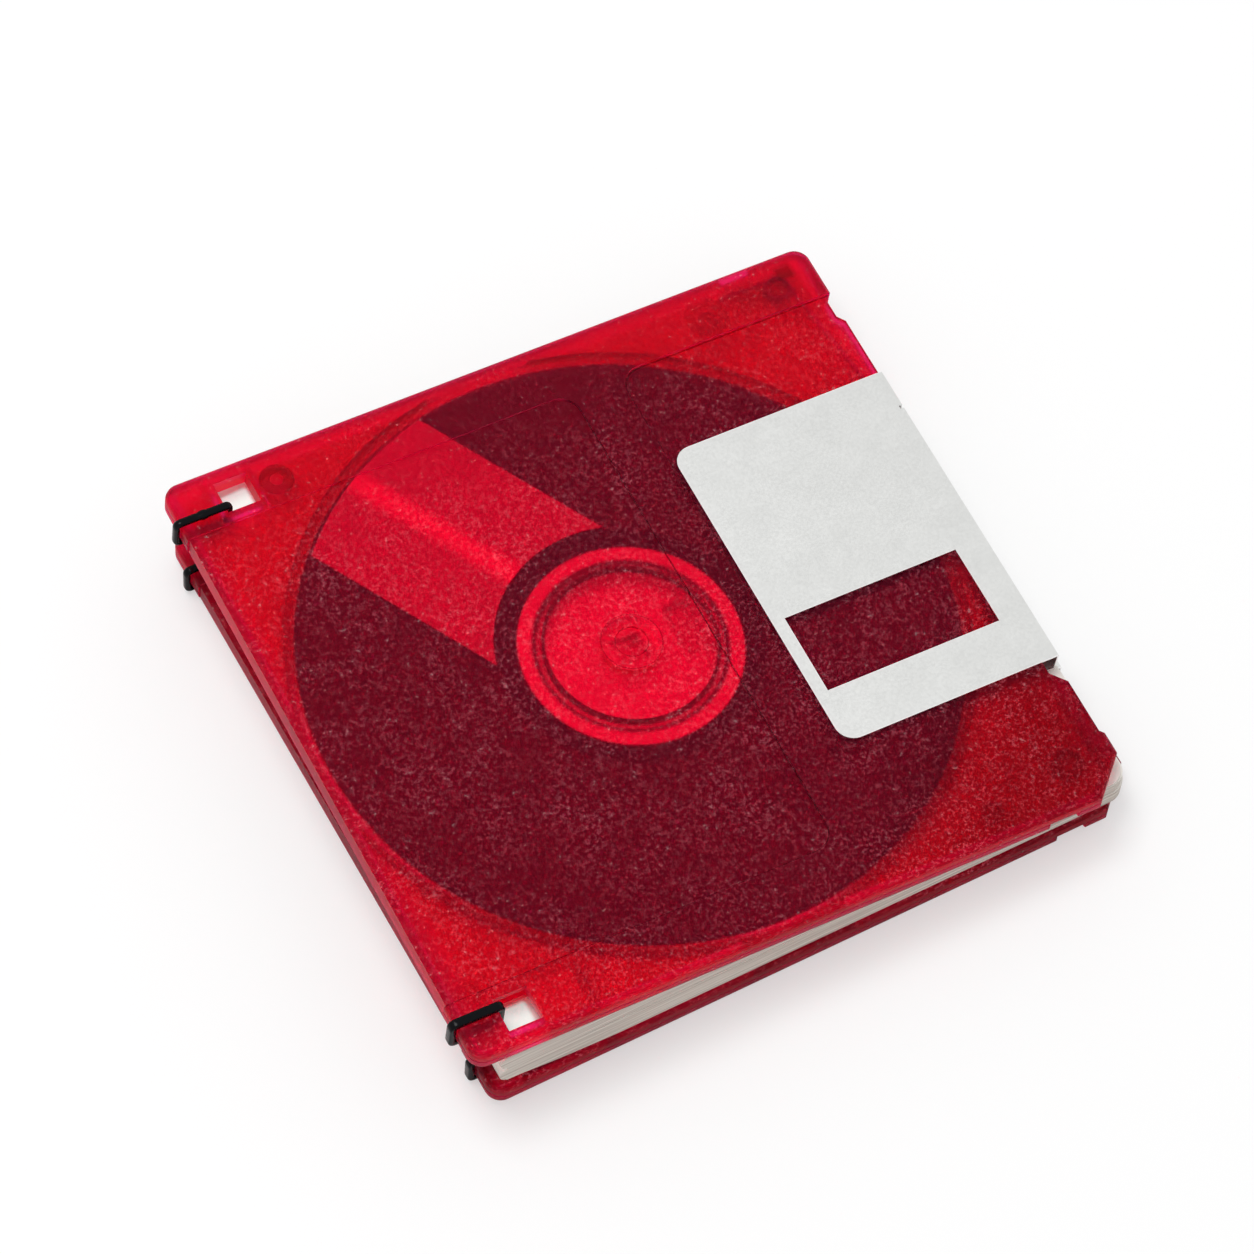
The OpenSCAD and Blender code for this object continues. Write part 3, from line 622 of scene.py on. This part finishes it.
# Pieces whose finish goes by their place on the cover
OWN_FINISHES = {cover + "_lifter": lifter_film(cover) for cover in COVERS}
OWN_FINISHES |= {cover + "_hub": hub_steel(cover) for cover in COVERS}
OWN_FINISHES |= {cover + "_upper_shell": label_side_plastic(cover) for cover in COVERS}
OWN_FINISHES |= {cover + "_lower_shell": hub_side_plastic(cover) for cover in COVERS}
OWN_FINISHES |= {cover + "_shutter": shutter_metal(cover) for cover in COVERS}
for part in frame["record"]["subparts"]:
    solid = frame["nodes"][part["node"]]
    solid.data.materials.clear()
    finish = OWN_FINISHES.get(part["node"]) or FINISHES[part["material_slot"]]
    solid.data.materials.append(finish)

# Straps


def local_box(node, place):
    """The lowest and highest corners of a CAD node in a cover's own axes."""
    solid = frame["nodes"][node]
    count = len(solid.data.vertices)
    points = np.empty(3 * count)
    solid.data.vertices.foreach_get("co", points)
    points = points.reshape(count, 3)
    turn = np.array(place.inverted() @ solid.matrix_world)
    points = points @ turn[:3, :3].T + turn[:3, 3]
    return points.min(0), points.max(0)


def loop_path(low, high, thick, bend, per_run=14, per_bend=8):
    """The middle line of a strap round a cover, in x and z: a rectangle with round corners. Each
    corner is a quarter circle of the bend's radius, and straight runs join them."""
    x0, z0 = low + thick / 2
    x1, z1 = high - thick / 2
    corners = [(x1 - bend, z1 - bend, 0), (x0 + bend, z1 - bend, 90),
               (x0 + bend, z0 + bend, 180), (x1 - bend, z0 + bend, 270)]
    arcs = []
    for x, z, start in corners:
        turns = np.radians(start + np.linspace(0, 90, per_bend))
        arcs.append(np.stack([x + bend * np.cos(turns), z + bend * np.sin(turns)], 1))
    path = []
    for arc, after in zip(arcs, arcs[1:] + arcs[:1]):
        steps = np.linspace(0, 1, per_run + 2)[1:-1, None]
        path += [arc, arc[-1] * (1 - steps) + after[0] * steps]
    return np.concatenate(path)


def swept(path, half_thick, half_wide, power, middle, closed=True, around=20):
    """Points and faces of a strap along a path in x and z. Its section is a rounded rectangle,
    where the powers of both coordinates over their halves add up to 1. Each ring lies square to
    the path's direction there."""
    ahead = np.roll(path, -1, 0) - np.roll(path, 1, 0)
    if not closed:
        ahead[0], ahead[-1] = path[1] - path[0], path[-1] - path[-2]
    ahead /= np.linalg.norm(ahead, axis=1)[:, None]
    side = np.stack([ahead[:, 1], -ahead[:, 0]], 1)
    angle = np.linspace(0, 2 * np.pi, around, endpoint=False)
    across = np.sign(np.cos(angle)) * np.abs(np.cos(angle)) ** (2 / power)
    along_y = np.sign(np.sin(angle)) * np.abs(np.sin(angle)) ** (2 / power)
    out = half_thick[:, None] * across
    points = np.empty((len(path), around, 3))
    points[..., 0] = path[:, None, 0] + side[:, None, 0] * out
    points[..., 2] = path[:, None, 1] + side[:, None, 1] * out
    points[..., 1] = middle + half_wide[:, None] * along_y
    rings = len(path) if closed else len(path) - 1
    faces = []
    for i in range(rings):
        for k in range(around):
            a, b = i * around, ((i + 1) % len(path)) * around
            m = (k + 1) % around
            faces.append((a + k, b + k, b + m, a + m))
    if not closed:
        last = (len(path) - 1) * around
        faces.append(tuple(range(around)))
        faces.append(tuple(last + k for k in reversed(range(around))))
    return points.reshape(-1, 3), faces


def make_strap(node, body, cover, power, thick_share, wide_share, nub=None):
    """A moulded strap looped round the spine edge. A back strap has its strand, too."""
    place = PLACES[cover]
    low, high = local_box(node, place)
    strand = high[2] > -low[2] + MM
    thick, wide = -HALF_THICK * MM - low[2], high[1] - low[1]
    middle = (low[1] + high[1]) / 2
    ends = np.array([low[0], low[2]]), np.array([high[0], -low[2]])
    path = loop_path(*ends, thick, 0.65 * thick)
    swell = np.ones(len(path))
    if nub is not None:
        on_top = path[:, 1] > 0
        swell += on_top * 0.3 * np.exp(-(((path[:, 0] - low[0] - nub) / (0.3 * MM)) ** 2))
    half_thick = swell * thick * thick_share / 2
    points, faces = swept(path, half_thick, swell * wide * wide_share / 2, power, middle)
    if strand:
        foot = HALF_THICK * MM + thick / 2
        line = np.stack([np.full(12, low[0] + thick + STRAND_IN), np.linspace(foot, high[2], 12)], 1)
        even = np.full(12, STRAND_HALF)
        more, sides = swept(line, even, even * 1.2, power, middle, closed=False)
        faces += [tuple(i + len(points) for i in face) for face in sides]
        points = np.concatenate([points, more])
    turn = np.array(place)
    points = points @ turn[:3, :3].T + turn[:3, 3]
    mesh = bpy.data.meshes.new(node + "_shape")
    mesh.from_pydata(points.tolist(), [], faces)
    mesh.polygons.foreach_set("use_smooth", [True] * len(mesh.polygons))
    mesh.materials.append(FINISHES["strap_black"])
    obj = bpy.data.objects.new(node + "_shape", mesh)
    scene.collection.objects.link(obj)
    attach(obj, body)
    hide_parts(node)


STRAND_IN = 2.15 * MM
STRAND_HALF = 0.4 * MM
make_strap("front_far_strap", "front_cover", "front", 2.6, 0.9, 0.9, nub=4.2 * MM)
make_strap("front_near_strap", "front_cover", "front", 5.0, 1.0, 1.0)
make_strap("back_far_strap", "back_cover", "back", 2.6, 0.9, 0.9)
make_strap("back_near_strap", "back_cover", "back", 5.0, 1.0, 1.0)

# Studio


def floor_material():
    """White paper floor. The camera sees part of it as plain white, so its shadow is a light
    one, and every other ray meets it as it is lit."""
    material = bpy.data.materials.new("floor_white")
    material.use_nodes = True
    nodes, links = material.node_tree.nodes, material.node_tree.links
    nodes.clear()
    out = nodes.new("ShaderNodeOutputMaterial")
    matt = nodes.new("ShaderNodeBsdfDiffuse")
    matt.inputs["Color"].default_value = (0.9, 0.9, 0.9, 1)
    glow = nodes.new("ShaderNodeEmission")
    both = nodes.new("ShaderNodeMixShader")
    both.inputs["Fac"].default_value = 0.45
    pick = nodes.new("ShaderNodeMixShader")
    rays = nodes.new("ShaderNodeLightPath")
    links.new(matt.outputs["BSDF"], both.inputs[1])
    links.new(glow.outputs["Emission"], both.inputs[2])
    links.new(rays.outputs["Is Camera Ray"], pick.inputs["Fac"])
    links.new(matt.outputs["BSDF"], pick.inputs[1])
    links.new(both.outputs["Shader"], pick.inputs[2])
    links.new(pick.outputs["Shader"], out.inputs["Surface"])
    return material


def make_floor(half):
    """A square floor at height 0, half its side given."""
    mesh = bpy.data.meshes.new("floor")
    corners = [(-half, -half, 0), (half, -half, 0), (half, half, 0), (-half, half, 0)]
    mesh.from_pydata(corners, [], [(0, 1, 2, 3)])
    floor = bpy.data.objects.new("floor", mesh)
    scene.collection.objects.link(floor)
    mesh.materials.append(floor_material())


def make_world(light, backdrop):
    """An even grey light, and a white backdrop for the camera, for gloss and for clear pieces."""
    world = bpy.data.worlds.new("studio")
    scene.world = world
    world.use_nodes = True
    nodes, links = world.node_tree.nodes, world.node_tree.links
    back = nodes["Background"]
    back.inputs["Color"].default_value = (1, 1, 1, 1)
    rays = nodes.new("ShaderNodeLightPath")
    seen = nodes.new("ShaderNodeMapRange")
    seen.inputs["To Min"].default_value = light
    seen.inputs["To Max"].default_value = backdrop
    links.new(rays.outputs["Is Camera Ray"], seen.inputs["Value"])
    links.new(seen.outputs["Result"], back.inputs["Strength"])


def softbox(name, place, aim, size, power):
    """A square lamp at a place, facing a point."""
    lamp = bpy.data.lights.new(name, "AREA")
    lamp.shape = "RECTANGLE"
    lamp.size, lamp.size_y = size
    lamp.energy = power
    obj = bpy.data.objects.new(name, lamp)
    scene.collection.objects.link(obj)
    obj.location = place
    way = np.array(aim) - np.array(place)
    flat = math.hypot(way[0], way[1])
    obj.rotation_euler = (math.atan2(flat, -way[2]), 0, math.atan2(way[1], way[0]) - math.pi / 2)


def make_camera():
    """The photograph's camera: a long lens, high over the near spine corner, slightly rolled."""
    camera = bpy.data.cameras.new("camera")
    camera.lens = 166.764
    camera.sensor_width = 36
    camera.clip_end = 10
    obj = bpy.data.objects.new("camera", camera)
    scene.collection.objects.link(obj)
    obj.location = (-0.199425, -0.303053, 0.657927)
    obj.rotation_euler = [math.radians(a) for a in (29.3771, -2.4685, -28.5719)]
    scene.camera = obj


make_floor(3)
make_world(0.78, 1.0)
softbox("key", (-0.2, 0.22, 1.0), (0, 0, 0), (0.4, 0.4), 4.2)
make_camera()
scene.view_settings.view_transform = "Standard"
